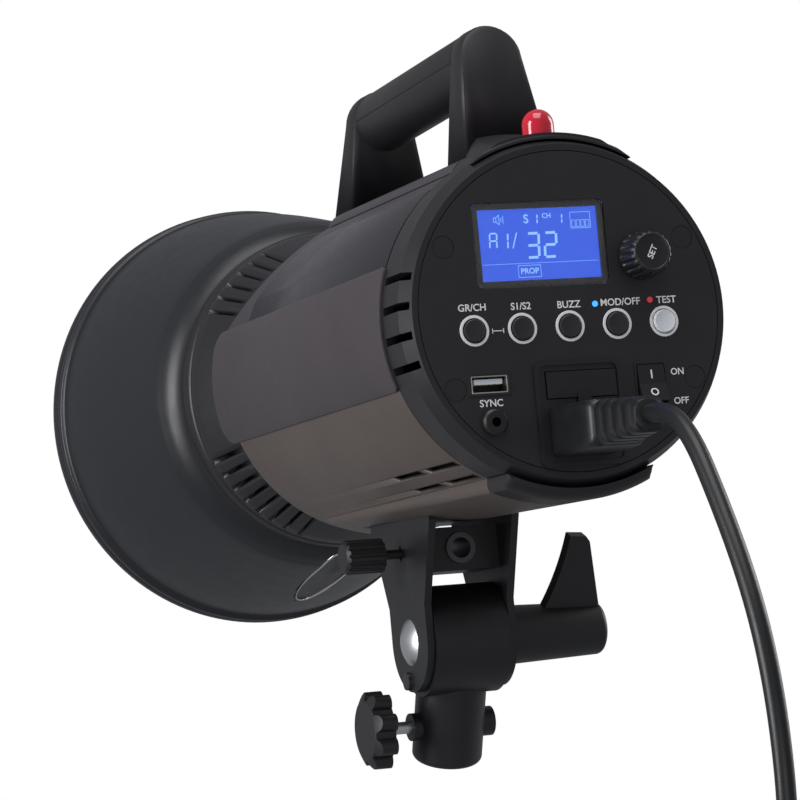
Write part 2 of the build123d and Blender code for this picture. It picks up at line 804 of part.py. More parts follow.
def mainsPlug():
    plug = block(plugX - plugInW / 2, plugX + plugInW / 2, inletFace, plugInDepth,
                 plugZ - plugInH / 2, plugZ + plugInH / 2)
    plug += taperedBlock(inletFace, plugShoulder, *plugBlock, 2.5)
    plug += taperedBlock(plugShoulder, plugEnd, *reliefHalf, 4.0)
    return plug


save("mains_plug", mainsPlug())


def inRow(point):
    """A head-frame point in the row frame."""
    place = headPlace * Pos(*point)
    return tuple(place.position)


cordX, exitY, exitZ = inRow((plugX, plugEnd, plugZ))
# the route hangs in the plane through the plug: (y, z) in the row frame
leadX, leadY, leadZ = inRow((plugX, plugEnd - 15.6, plugZ))
route = [(exitY, exitZ), (leadY, leadZ), (-201.0, 201.6), (-224.7, 187.2), (-247.0, 171.6), (-263.8, 156.5),
         (-277.2, 139.9), (-287.6, 122.2), (-295.7, 103.8), (-301.5, 82.0)]
coilEntry = 8.0            # how far above the coil's rear side the cord joins it, degrees
coilMeanR = 39.0
coilRun = 24.0
bundleX, bundleR = 21.0, 14.0
tailLength = 30.0


def tubeAlong(points):
    runs = [Vector(*b) - Vector(*a) for a, b in zip(points, points[1:])]
    radii = []
    for a, b in zip(runs, runs[1:]):
        turn = radians(a.get_angle(b))
        radii.append(0.45 * min(a.length, b.length) / tan(turn / 2))
    path = FilletPolyline(*points, radius=radii)
    print("arc radii", [round(r, 1) for r in radii], "length", round(path.length, 1))
    start = Plane(origin=points[0], z_dir=runs[0])
    tube = sweep(start * Circle(cordR), path=path)
    print("tube volume ratio", round(tube.volume / (pi * cordR ** 2 * path.length), 4))
    return tube


for lean in (coilEntry + 4.0, coilEntry):
    inward = (-sin(radians(lean)), -cos(radians(lean)))
    route.append((route[-1][0] + coilRun * inward[0], route[-1][1] + coilRun * inward[1]))
touchY = route[-1][0] + 0.65 * coilRun * inward[0]
touchZ = route[-1][1] + 0.65 * coilRun * inward[1]
coilY = touchY - coilMeanR * inward[1]
coilZ = touchZ + coilMeanR * inward[0]


def coilRing(grow=0.0, arc=360.0):
    section = Pos(cordX, coilMeanR) * RectangleRounded(bundleX + 2 * grow, bundleR + 2 * grow, 5.0)
    ring = revolve(Plane.XZ * section, Axis.X, arc)
    return Pos(0, coilY, coilZ) * Rot(arc / 2, 0, 0) * ring


coil = coilRing()
points = [(cordX, y, z) for y, z in route]
save("cord_tube", tubeAlong(points) - coil, Pos(0, 0, 0))
save("cord_coil", coil, Pos(0, 0, 0))
save("coil_tie", coilRing(1.0, 20.0) - coil, Pos(0, 0, 0))

tailY = coilY - coilMeanR
tailEnd = coilZ - 14.0 - tailLength
tail = Pos(cordX, tailY, coilZ - 14.0 - tailLength / 2) * Cylinder(cordR, tailLength)
save("cord_tail", tail - coil, Pos(0, 0, 0))

# the mains end: a plain round plug with two pins, hanging beside the coil
farRelief = (26.0, 5.0, 9.0)
farNeck = 6.0
farR, farT = 18.5, 15.0
pinR, pinGap, pinLength = 2.4, 19.0, 19.0


def farPlug():
    length, top, low = farRelief
    body = Pos(0, 0, -length / 2) * Cone(low, top, length)
    body += Pos(0, 0, -length - farNeck / 2) * Cone(farR - 2, low, farNeck)
    body += Pos(0, 0, -length - farNeck - farT / 2) * Cylinder(farR, farT)
    return Pos(cordX, tailY, tailEnd) * body


save("far_plug", farPlug(), Pos(0, 0, 0))
pinTop = tailEnd - farRelief[0] - farNeck - farT
pins = [Pos(cordX, tailY + y, pinTop - pinLength / 2) * Cylinder(pinR, pinLength)
        for y in (-pinGap / 2, pinGap / 2)]
save("far_plug_pins", Compound(children=pins), Pos(0, 0, 0))
print("coil centre", [round(v, 1) for v in (cordX, coilY, coilZ)], "tail end", round(tailEnd, 1))
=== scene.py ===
import math
import bmesh
import bpy
from mathutils import Matrix, Vector


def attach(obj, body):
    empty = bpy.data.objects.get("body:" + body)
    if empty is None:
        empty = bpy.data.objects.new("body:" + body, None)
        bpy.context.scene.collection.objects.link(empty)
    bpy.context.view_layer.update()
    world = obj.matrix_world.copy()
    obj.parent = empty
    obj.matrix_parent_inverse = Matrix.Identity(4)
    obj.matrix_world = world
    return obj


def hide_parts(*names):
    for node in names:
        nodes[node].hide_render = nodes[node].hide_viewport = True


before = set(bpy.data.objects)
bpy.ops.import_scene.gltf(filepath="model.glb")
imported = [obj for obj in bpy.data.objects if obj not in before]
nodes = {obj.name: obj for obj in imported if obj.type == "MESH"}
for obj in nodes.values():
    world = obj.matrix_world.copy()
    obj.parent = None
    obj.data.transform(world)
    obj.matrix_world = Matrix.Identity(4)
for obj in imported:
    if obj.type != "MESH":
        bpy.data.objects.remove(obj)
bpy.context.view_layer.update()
mm = 0.001
restTilt = math.radians(-23.5)
standLift = 51.5  # tilt axis above the socket's mouth, mm
headMatrix = (Matrix.Diagonal((mm, mm, mm, 1)) @ Matrix.Translation((0, 0, standLift))
              @ Matrix.Rotation(restTilt, 4, "X") @ Matrix.Translation((0, -148.3, 114.2)))
standMatrix = Matrix.Diagonal((mm, mm, mm, 1)) @ Matrix.Translation((0, 0, standLift))
rowMatrix = Matrix.Diagonal((mm, mm, mm, 1))
scene = bpy.context.scene

# camera
camData = bpy.data.cameras.new("camera")
camData.lens = 185.08
camData.sensor_width = 36
camData.clip_end = 20
camera = bpy.data.objects.new("camera", camData)
camera.location = (-0.59974, -1.43273, 0.63156)
camera.rotation_euler = [math.radians(a) for a in (72.7667, -3.2362, -20.6960)]
scene.collection.objects.link(camera)
scene.camera = camera
scene.render.resolution_x = 800
scene.render.resolution_y = 800
print("camera set")

# shared effects
def addNode(tree, kind, **values):
    node = tree.nodes.new(kind)
    for key, value in values.items():
        if key in node.inputs:
            node.inputs[key].default_value = value
        else:
            setattr(node, key, value)
    return node


def grainGroup():
    # moulded or painted skin: fine grain in the normal, slow mottle in colour and roughness
    group = bpy.data.node_groups.new("grainSkin", "ShaderNodeTree")
    face = group.interface
    for label, kind, value in (("Color", "NodeSocketColor", (0.1, 0.1, 0.1, 1)), ("Roughness", "NodeSocketFloat", 0.5),
                               ("Scale", "NodeSocketFloat", 2000.0), ("Depth", "NodeSocketFloat", 0.1),
                               ("Mottle", "NodeSocketFloat", 0.1)):
        face.new_socket(label, in_out="INPUT", socket_type=kind).default_value = value
    for label, kind in (("Color", "NodeSocketColor"), ("Roughness", "NodeSocketFloat"), ("Normal", "NodeSocketVector")):
        face.new_socket(label, in_out="OUTPUT", socket_type=kind)
    link = group.links.new
    take, give = addNode(group, "NodeGroupInput"), addNode(group, "NodeGroupOutput")
    place = addNode(group, "ShaderNodeTexCoord")
    fine = addNode(group, "ShaderNodeTexNoise", Detail=3.0, Roughness=0.6)
    slow = addNode(group, "ShaderNodeTexNoise", Scale=38.0, Detail=5.0, Roughness=0.65)
    smudge = addNode(group, "ShaderNodeTexNoise", Scale=160.0, Detail=2.0)
    link(place.outputs["Object"], fine.inputs["Vector"])
    link(place.outputs["Object"], slow.inputs["Vector"])
    link(place.outputs["Object"], smudge.inputs["Vector"])
    link(take.outputs["Scale"], fine.inputs["Scale"])
    bump = addNode(group, "ShaderNodeBump", Distance=0.0002)
    link(fine.outputs["Fac"], bump.inputs["Height"])
    link(take.outputs["Depth"], bump.inputs["Strength"])
    link(bump.outputs["Normal"], give.inputs["Normal"])
    # speckle follows the grain a little
    speckle = addNode(group, "ShaderNodeMath", operation="MULTIPLY_ADD")
    speckle.inputs[1].default_value = 0.35
    link(fine.outputs["Fac"], speckle.inputs[0])
    link(slow.outputs["Fac"], speckle.inputs[2])
    centre = addNode(group, "ShaderNodeMath", operation="SUBTRACT")
    centre.inputs[1].default_value = 0.675
    link(speckle.outputs[0], centre.inputs[0])
    scale = addNode(group, "ShaderNodeMath", operation="MULTIPLY")
    link(centre.outputs[0], scale.inputs[0])
    link(take.outputs["Mottle"], scale.inputs[1])
    lift = addNode(group, "ShaderNodeMath", operation="ADD")
    lift.inputs[1].default_value = 1.0
    link(scale.outputs[0], lift.inputs[0])
    tint = addNode(group, "ShaderNodeHueSaturation")
    link(lift.outputs[0], tint.inputs["Value"])
    link(take.outputs["Color"], tint.inputs["Color"])
    link(tint.outputs["Color"], give.inputs["Color"])
    rough = addNode(group, "ShaderNodeMath", operation="MULTIPLY_ADD")
    rough.inputs[1].default_value = 0.12
    link(smudge.outputs["Fac"], rough.inputs[0])
    link(take.outputs["Roughness"], rough.inputs[2])
    link(rough.outputs[0], give.inputs["Roughness"])
    return group


grainSkin = grainGroup()


def skin(name, color, rough, scale=2200.0, depth=0.12, mottle=0.35, **shader):
    mat = bpy.data.materials.new(name)
    mat.use_nodes = True
    tree = mat.node_tree
    body = tree.nodes["Principled BSDF"]
    effect = addNode(tree, "ShaderNodeGroup", node_tree=grainSkin)
    for label, value in (("Color", (*color, 1)), ("Roughness", rough), ("Scale", scale), ("Depth", depth),
                         ("Mottle", mottle)):
        effect.inputs[label].default_value = value
    tree.links.new(effect.outputs["Color"], body.inputs["Base Color"])
    tree.links.new(effect.outputs["Roughness"], body.inputs["Roughness"])
    tree.links.new(effect.outputs["Normal"], body.inputs["Normal"])
    for label, value in shader.items():
        body.inputs[label.replace("_", " ")].default_value = value
    return mat


mats = {
    "panel": skin("panelFace", (0.0105, 0.0095, 0.0115), 0.46, depth=0.10),
    "shell": skin("upperShell", (0.034, 0.029, 0.037), 0.36, depth=0.16),
    "ring": skin("ringBlack", (0.011, 0.010, 0.0125), 0.38, depth=0.12),
    "side": skin("sideSkin", (0.048, 0.040, 0.046), 0.40, depth=0.18),
    "lower": skin("lowerShell", (0.085, 0.068, 0.060), 0.42, depth=0.18),
    "handle": skin("handleBlack", (0.012, 0.0105, 0.0125), 0.40, depth=0.14),
    "label": skin("labelFilm", (0.016, 0.014, 0.019), 0.20, scale=900.0, depth=0.03),
    "collar": skin("collarBlack", (0.010, 0.010, 0.0125), 0.36, depth=0.10),
    "dome": skin("domeRed", (0.55, 0.008, 0.03), 0.10, scale=300.0, depth=0.01, Coat_Weight=0.5),
    "screen": skin("screenBlue", (0.0, 0.03, 0.30), 0.25, scale=400.0, depth=0.01,
                   Emission_Color=(0.0, 0.075, 0.70, 1), Emission_Strength=0.8),
    "board": skin("boardGreen", (0.01, 0.13, 0.06), 0.35, scale=500.0, depth=0.1),
    "control": skin("controlBlack", (0.007, 0.007, 0.008), 0.36, depth=0.08),
    "gloss": skin("glossBlack", (0.010, 0.010, 0.011), 0.22, scale=700.0, depth=0.02),
    "button": skin("buttonDark", (0.016, 0.016, 0.018), 0.36, depth=0.05),
    "white": skin("whiteCap", (0.80, 0.82, 0.86), 0.35, depth=0.03, mottle=0.05),
    "ink": skin("inkWhite", (0.85, 0.85, 0.85), 0.55, depth=0.03, mottle=0.05),
    "screenInk": skin("screenInk", (0.20, 0.40, 0.75), 0.5, depth=0.01, mottle=0.02,
                      Emission_Color=(0.22, 0.46, 0.82, 1), Emission_Strength=0.75),
    "gold": skin("contactGold", (0.75, 0.52, 0.22), 0.3, scale=900.0, depth=0.04, Metallic=1.0),
    "ledBlue": skin("ledBlue", (0.05, 0.25, 0.9), 0.2, depth=0.01, Emission_Color=(0.03, 0.28, 1, 1), Emission_Strength=1.6),
    "ledRed": skin("ledRed", (0.5, 0.03, 0.05), 0.2, depth=0.01, Emission_Color=(1, 0.06, 0.08, 1), Emission_Strength=0.25),
    "metal": skin("platedMetal", (0.62, 0.60, 0.57), 0.24, scale=1500.0, depth=0.05, Metallic=1.0),
    "zinc": skin("zincPlate", (0.60, 0.62, 0.62), 0.30, scale=1200.0, depth=0.10, Metallic=1.0),
    "paint": skin("reflectorPaint", (0.010, 0.0105, 0.0135), 0.34, scale=1600.0, depth=0.07, mottle=0.2),
    "silver": skin("reflectorInside", (0.72, 0.72, 0.74), 0.28, scale=700.0, depth=0.25, Metallic=1.0),
    "ceramic": skin("lampBase", (0.70, 0.68, 0.64), 0.6, depth=0.08),
    "alu": skin("bareAluminium", (0.70, 0.70, 0.72), 0.35, scale=900.0, depth=0.08, Metallic=1.0),
    "bracket": skin("bracketPaint", (0.008, 0.008, 0.0095), 0.36, scale=1500.0, depth=0.16),
    "knob": skin("knobBlack", (0.010, 0.010, 0.011), 0.40, depth=0.12),
    "cord": skin("cordSheath", (0.005, 0.0055, 0.0065), 0.34, scale=1200.0, depth=0.08),
    "strap": skin("tieStrap", (0.02, 0.02, 0.022), 0.85, scale=1500.0, depth=0.5),
    "darkMetal": skin("darkMetal", (0.10, 0.10, 0.105), 0.34, scale=900.0, depth=0.10, Metallic=1.0),
    # near-black for the insides seen through openings: painted shade
    "black": skin("paintedShadeBlack", (0.004, 0.004, 0.004), 0.6, depth=0.02),
}
glass = skin("clearGlass", (0.95, 0.96, 0.97), 0.02, scale=300.0, depth=0.01, mottle=0.02,
             Transmission_Weight=1.0, IOR=1.45)
mats["glass"] = glass
print("materials made")


# geometry helpers; every piece is drawn in millimetres and placed when its mesh is made
def finishPiece(name, bm, material, replaced, body="head", place=headMatrix, bevel=0.0, smoothBelow=36):
    bmesh.ops.remove_doubles(bm, verts=bm.verts, dist=0.001)
    bmesh.ops.recalc_face_normals(bm, faces=bm.faces)
    limit = math.radians(smoothBelow)
    if bevel:
        sharp = [e for e in bm.edges if len(e.link_faces) == 2 and e.calc_face_angle(0) > limit]
        bmesh.ops.bevel(bm, geom=sharp, offset=bevel, offset_type="OFFSET", segments=2, profile=0.5,
                        affect="EDGES", clamp_overlap=True, material=-1)
    bmesh.ops.transform(bm, matrix=place, verts=bm.verts)
    for f in bm.faces:
        f.smooth = True
    for e in bm.edges:
        e.smooth = len(e.link_faces) != 2 or e.calc_face_angle(0) < limit
    mesh = bpy.data.meshes.new(name)
    bm.to_mesh(mesh)
    bm.free()
    obj = bpy.data.objects.new(name, mesh)
    mesh.materials.append(mats[material])
    scene.collection.objects.link(obj)
    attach(obj, body)
    if replaced:
        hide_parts(*replaced)
    return obj


def lathe(bm, profile, steps=96, start=0.0, end=360.0, centre=(0.0, 0.0), axis="Y"):
    # profile is a closed loop of (radius, along)
    full = end - start >= 360
    rings = []
    for i in range(steps if full else steps + 1):
        angle = math.radians(start + (end - start) * i / steps)
        ring = []
        for r, y in profile:
            u, w = r * math.cos(angle) + centre[0], r * math.sin(angle) + centre[1]
            ring.append(bm.verts.new((u, y, w) if axis == "Y" else (y, u, w) if axis == "X" else (u, w, y)))
        rings.append(ring)
    count = len(profile)
    for i in range(len(rings) if full else len(rings) - 1):
        here, there = rings[i], rings[(i + 1) % len(rings)]
        for j in range(count):
            k = (j + 1) % count
            if profile[j][0] < 1e-6 and profile[k][0] < 1e-6:
                continue
            corners = [here[j], here[k], there[k], there[j]]
            if profile[j][0] < 1e-6:
                corners = [here[j], here[k], there[k]]
            elif profile[k][0] < 1e-6:
                corners = [here[j], here[k], there[j]]
            bm.faces.new(corners)
    if not full:
        bm.faces.new(rings[0])
        bm.faces.new(rings[-1])


def prism(bm, outline, low, high, axis="Y"):
    # outline is (x, z) for Y, (y, z) for X and (x, y) for Z
    loops = []
    for level in (low, high):
        if axis == "Y":
            loops.append([bm.verts.new((a, level, b)) for a, b in outline])
        elif axis == "X":
            loops.append([bm.verts.new((level, a, b)) for a, b in outline])
        else:
            loops.append([bm.verts.new((a, b, level)) for a, b in outline])
    bm.faces.new(loops[0])
    bm.faces.new(loops[1])
    for i in range(len(outline)):
        k = (i + 1) % len(outline)
        bm.faces.new((loops[0][i], loops[0][k], loops[1][k], loops[1][i]))


def skinLoops(bm, loops, closed=False):
    # joins rings of equal length, capping both ends unless closed
    rows = [[bm.verts.new(p) for p in loop] for loop in loops]
    for i in range(len(rows) if closed else len(rows) - 1):
        here, there = rows[i], rows[(i + 1) % len(rows)]
        for j in range(len(here)):
            k = (j + 1) % len(here)
            bm.faces.new((here[j], here[k], there[k], there[j]))
    if not closed:
        bm.faces.new(rows[0])
        bm.faces.new(rows[-1])


def smoothCurve(points, steps=6):
    # Catmull-Rom through the points
    out = []
    for i in range(len(points) - 1):
        p0, p1 = points[max(i - 1, 0)], points[i]
        p2, p3 = points[i + 1], points[min(i + 2, len(points) - 1)]
        for s in range(steps):
            t = s / steps
            out.append(tuple(0.5 * (2 * b + (c - a) * t + (2 * a - 5 * b + 4 * c - d) * t * t
                                    + (3 * b - a - 3 * c + d) * t ** 3) for a, b, c, d in zip(p0, p1, p2, p3)))
    out.append(points[-1])
    return out


def roundedLoop(halfW, halfH, corner, steps=5):
    loop = []
    for cx, cy, first in ((1, 1, 0), (-1, 1, 90), (-1, -1, 180), (1, -1, 270)):
        for i in range(steps + 1):
            a = math.radians(first + 90 * i / steps)
            loop.append((cx * (halfW - corner) + corner * math.cos(a), cy * (halfH - corner) + corner * math.sin(a)))
    return loop


def cutWith(obj, cutter):
    # boolean, applied at once
    mod = obj.modifiers.new("cut", "BOOLEAN")
    mod.operation = "DIFFERENCE"
    mod.solver = "EXACT"
    mod.object = cutter
    bpy.context.view_layer.update()
    graph = bpy.context.evaluated_depsgraph_get()
    done = bpy.data.meshes.new_from_object(obj.evaluated_get(graph))
    obj.modifiers.clear()
    old = obj.data
    obj.data = done
    bpy.data.meshes.remove(old)
    bpy.data.objects.remove(cutter)


def finishCad(node, material, bevel=0.0, angle=30):
    obj = nodes[node]
    obj.data.materials.clear()
    obj.data.materials.append(mats[material])
    obj.data.shade_smooth()
    obj.data.set_sharp_from_angle(angle=math.radians(angle))
    if bevel:
        mod = obj.modifiers.new("edge", "BEVEL")
        mod.width = bevel * mm
        mod.segments = 2
        mod.limit_method = "ANGLE"
        mod.angle_limit = math.radians(40)
        mod.harden_normals = False


# CAD pieces whose shape is right get their finish here
cadFinish = {
    "panel": ["control_panel"], "shell": ["upper_shell", "top_tray", "top_fairing"],
    "ring": ["rear_ring", "panel_caps"], "side": ["side_panel_left", "side_panel_right"],
    "lower": ["lower_shell", "keel_pad"], "collar": ["front_collar"], "label": ["side_label"],
    "handle": ["handle_front_post", "handle_rear_post", "grip_lower", "grip_upper"], "dome": ["slave_dome"],
    "screen": ["display_module"], "glass": ["display_lens", "flash_tube", "modelling_lamp"],
    "board": ["control_board"], "control": ["set_dial", "dial_encoder", "sync_jack", "inlet_module", "fuse_drawer",
                                             "rocker_housing"], "gloss": ["rocker", "display_bezel"],
    "button": ["button_1", "button_2", "button_3", "button_4"], "white": ["button_5"],
    "ledBlue": ["led_blue"], "ledRed": ["led_red"], "metal": ["usb_port", "mount_ring"],
    "paint": ["reflector"], "ceramic": ["lamp_base"], "alu": ["chassis_plate", "capacitors"],
    "bracket": ["fork_bracket", "umbrella_block", "stand_barrel"],
    "zinc": ["tilt_bolt", "star_screw", "far_plug_pins"], "darkMetal": ["umbrella_bush", "plate_screw"],
    "knob": ["tilt_lever", "star_knob", "umbrella_screw"],
    "cord": ["mains_plug", "cord_tube", "cord_coil", "cord_tail", "far_plug"], "strap": ["coil_tie"],
}
edgeRounding = {"tilt_lever": 0.9, "star_knob": 0.9, "fork_bracket": 0.3, "umbrella_block": 0.4, "inlet_module": 0.35,
                "fuse_drawer": 0.3, "display_bezel": 0.2, "control_panel": 0.15, "plate_screw": 0.4}  # mm
for material, members in cadFinish.items():
    for node in members:
        finishCad(node, material, edgeRounding.get(node, 0.0))
print("CAD pieces finished")

# reflector: spun bell with a rolled rim, plain outside and silvered inside
reflectorSize = {"neckR": 48.5, "neckBack": 240.0, "back": 266.6, "sheet": 1.2, "holeR": 8.2, "holeZ": -78.4}
bellCurve = smoothCurve([(60.0, 266.7), (67.2, 268.4), (71.6, 272.0), (74.3, 276.5), (76.6, 283.0), (81.4, 305.0),
                         (86.4, 330.0), (89.8, 350.0), (91.4, 364.5)], 7)
rimCurve = [(91.6, 365.6), (92.0, 366.4), (92.9, 366.7), (93.5, 367.2), (93.6, 370.2), (93.1, 371.0), (93.1, 371.9),
            (93.7, 372.6), (94.0, 374.0), (94.0, 376.6), (93.4, 377.9), (92.2, 378.2), (91.2, 377.6), (90.9, 376.2),
            (91.0, 370.0)]


def makeReflector():
    r = reflectorSize
    inner = [(a - r["sheet"], b + 0.5) for a, b in reversed(bellCurve)]
    profile = [(r["neckR"], r["neckBack"]), (r["neckR"], r["back"])] + bellCurve + rimCurve
    first = len(profile) - 1
    profile += inner + [(r["neckR"] - 1.2, r["back"] + 1.3), (r["neckR"] - 1.2, r["neckBack"])]
    bm = bmesh.new()
    lathe(bm, profile, 160)
    bm.faces.ensure_lookup_table()
    for i, f in enumerate(bm.faces):
        f.material_index = 1 if first - 3 <= i % len(profile) < len(profile) - 1 else 0
    obj = finishPiece("reflectorBell", bm, "paint", ["reflector"], "reflector", smoothBelow=50)
    obj.data.materials.append(mats["silver"])
    hole = bmesh.new()
    lathe(hole, [(0, 255), (r["holeR"], 255), (r["holeR"], 362), (0, 362)], 48, centre=(0, r["holeZ"]))
    cutter = finishPiece("holeCutter", hole, "paint", [], "reflector")
    cutWith(obj, cutter)
    # bright plated-metal ring round the hole: a painted highlight for the light its edge catches
    lip = bmesh.new()
    loops = []
    for i in range(48):
        a = 2 * math.pi * i / 48
        x, z = r["holeR"] * math.cos(a), r["holeZ"] + r["holeR"] * math.sin(a)
        radius = math.hypot(x, z)
        y = next((p[1] + (radius - p[0]) * (q[1] - p[1]) / max(q[0] - p[0], 1e-6)
                  for p, q in zip(bellCurve, bellCurve[1:]) if p[0] <= radius <= q[0]), bellCurve[0][1])
        out = Vector((x, 0, z)) - Vector((0, 0, r["holeZ"]))
        out.normalize()
        loops.append([Vector((x, y, z)) + out * 0.55 * math.cos(b) + Vector((0, 1, 0)) * 0.55 * math.sin(b)
                      for b in [2 * math.pi * k / 8 for k in range(8)]])
    skinLoops(lip, loops, closed=True)
    finishPiece("holeEdgeHighlight", lip, "metal", [], "reflector", smoothBelow=80)


makeReflector()
print("reflector made")

# collar: cone with cooling louvres
collarLouvres = [118.5 + 6 * i for i in range(6)] + [-112.5 - 6 * i for i in range(8)]


def makeCollar():
    profile = [(55, 150), (61.5, 150), (61.5, 154), (58, 154), (58, 230), (60.2, 234.5), (66.1, 249.2), (66.9, 251.5),
               (67.2, 255.4), (67.2, 256.4), (67.9, 257.1), (68, 257.6), (68, 264.6), (67.7, 265.6), (66.8, 266),
               (52, 266), (52, 230), (55, 230)]
    bm = bmesh.new()
    lathe(bm, profile, 144)
    obj = finishPiece("collarCone", bm, "collar", ["front_collar"], smoothBelow=40)
    cutters = bmesh.new()
    for angle in collarLouvres:
        for turn in (angle, 180 - angle):
            box = bmesh.new()
            prism(box, [(59.2, -1.1), (75, -1.1), (75, 1.1), (59.2, 1.1)], 231, 252.5)
            bmesh.ops.transform(box, matrix=Matrix.Rotation(math.radians(-turn), 4, "Y"), verts=box.verts)
            scratch = bpy.data.meshes.new("scratch")
            box.to_mesh(scratch)
            box.free()
            cutters.from_mesh(scratch)
            bpy.data.meshes.remove(scratch)
    cutWith(obj, finishPiece("louvreCutter", cutters, "collar", []))


makeCollar()
print("collar made")


# casing skins: part of a tube between two angles, its ends a function of the angle
def shellSkin(name, material, node, rIn, rOut, start, end, back, front, bevel=0.25, steps=80):
    bm = bmesh.new()
    grid = []
    for i in range(steps + 1):
        degree = start + (end - start) * i / steps
        a = math.radians(degree)
        row = []
        for r, y in ((rIn, back(degree)), (rOut, back(degree)), (rOut, front(degree)), (rIn, front(degree))):
            row.append((r * math.cos(a), y, r * math.sin(a)))
        grid.append(row)
    skinLoops(bm, grid)
    return finishPiece(name, bm, material, [node], bevel=bevel)


def slantFront(degree):
    z = 65 * math.sin(math.radians(degree))
    share = min(max((z - 22) / 37, 0), 1)
    return 222 - 57 * share


def cornerFront(low, high, front, corner, sign=1):
    def edge(degree):
        d = math.radians(min(degree - low, high - degree)) * 66
        return front - sign * (corner - math.sqrt(max(corner ** 2 - (corner - d) ** 2, 0)) if d < corner else 0)
    return edge


shellSkin("casingUpper", "shell", "upper_shell", 61.5, 65.0, -21.5, 201.5, lambda d: 24.0, slantFront, steps=140)
shellSkin("casingSideLeft", "side", "side_panel_left", 65.0, 66.8, 160.2, 201.5,
          cornerFront(160.2, 201.5, 24.2, 1.5, -1), cornerFront(160.2, 201.5, 228, 9), bevel=0.45, steps=96)
shellSkin("casingSideRight", "side", "side_panel_right", 65.0, 66.8, -21.5, 19.8,
          cornerFront(-21.5, 19.8, 24.2, 1.5, -1), cornerFront(-21.5, 19.8, 228, 9), bevel=0.45, steps=96)
shellSkin("sideFilm", "label", "side_label", 65.0, 65.4, 128.5, 159.8, lambda d: 26.0,
          lambda d: min(190, slantFront(d) - 18), bevel=0.1)
print("casing made")


# control knob with fluted skirt
def makeDial():
    bm = bmesh.new()
    loops = []
    for y, r, depth in ((7, 3, 0), (-0.4, 3, 0), (-0.41, 8.6, 0), (-0.8, 9.0, 0), (-2.2, 9.0, 0), (-2.7, 8.9, 0.75),
                        (-10.2, 8.35, 0.75), (-11.4, 7.9, 0.45), (-12.2, 7.2, 0), (-12.4, 6.9, 0), (-12.4, 6.6, 0),
                        (-12.1, 6.3, 0), (-12.0, 6.0, 0), (-12.0, 0.6, 0)):
        loop = []
        for i in range(180):
            a = 2 * math.pi * i / 180
            wave = max(0.0, math.cos(18 * a)) ** 0.7 if depth else 0.0
            radius = r - depth * wave
            loop.append((30.3 + radius * math.cos(a), y, 19.0 + radius * math.sin(a)))
        loops.append(loop)
    skinLoops(bm, loops)
    finishPiece("dialKnob", bm, "control", ["set_dial"], "dial", smoothBelow=50)


makeDial()
capProfile = [(0, -1.0), (3.2, -1.05), (3.9, -1.2), (4.25, -1.0), (4.4, -0.5), (4.4, 3.5), (5.6, 3.5), (5.6, 4.7), (0, 4.7)]
ringProfile = [(4.8, -0.25), (5.7, -0.25), (5.8, -0.15), (5.8, 0.0), (4.75, 0.0), (4.75, -0.2)]
for i in range(5):
    centre = (-38.74 + 19.12 * i, -5.8)
    bm = bmesh.new()
    lathe(bm, capProfile, 48, centre=centre)
    finishPiece(f"buttonCap{i + 1}", bm, "white" if i == 4 else "button", [f"button_{i + 1}"], f"button_{i + 1}")
    bm = bmesh.new()
    lathe(bm, ringProfile, 64, centre=centre)
    finishPiece(f"buttonRing{i + 1}", bm, "ink", [])
print("dial and buttons made")

# sensor dome
domeCurve = [(0, 68.0), (6.1, 68.0), (6.1, 72.0)]
domeCurve += [(6.1 * math.cos(math.radians(a)), 72 + 6.1 * math.sin(math.radians(a))) for a in range(8, 90, 8)]
bm = bmesh.new()
lathe(bm, domeCurve + [(0, 78.1)], 64, centre=(0, 14.2), axis="Z")
finishPiece("sensorDome", bm, "dome", ["slave_dome"])


# handle: two tapering posts and a round grip with a parting line
def makePost(name, node, inner, top, foot, axisZ, sign):
    bm = bmesh.new()
    arc = [(12.9 * math.cos(math.radians(a)), axisZ + 12.9 * math.sin(math.radians(a))) for a in range(0, 181, 10)]
    outline = [(18.6, 60.0)] + arc + [(-18.6, 60.0)]
    near, far = [], []
    for x, z in outline:
        share = (z - 60) / (axisZ + 12.9 - 60)
        near.append((x, inner, z))
        far.append((x, foot + (top - foot) * share, z))
    skinLoops(bm, [near, far])
    obj = finishPiece(name, bm, "handle", [node], bevel=2.2)
    tube = bmesh.new()
    lathe(tube, [(0, 0), (67.4, 0), (67.4, 240), (0, 240)], 128)
    cutWith(obj, finishPiece(name + "Cutter", tube, "handle", []))
    return obj


makePost("postRear", "handle_rear_post", 66.0, 55.0, 43.0, 105.6, -1)
makePost("postFront", "handle_front_post", 175.0, 185.0, 198.0, 101.6, 1)
for name, node, first, last in (("gripTop", "grip_upper", 0, 180), ("gripUnder", "grip_lower", 180, 360)):
    bm = bmesh.new()
    loops = []
    for i in range(3):
        y = 66 + 109 * i / 2
        z = 105.6 - 4 * i / 2
        loop = [(12.5 * math.cos(math.radians(a)), y, z + 12.5 * math.sin(math.radians(a)))
                for a in range(first, last + 1, 6)]
        loops.append(loop)
    skinLoops(bm, loops)
    finishPiece(name, bm, "handle", [node], bevel=0.35)
print("handle made")


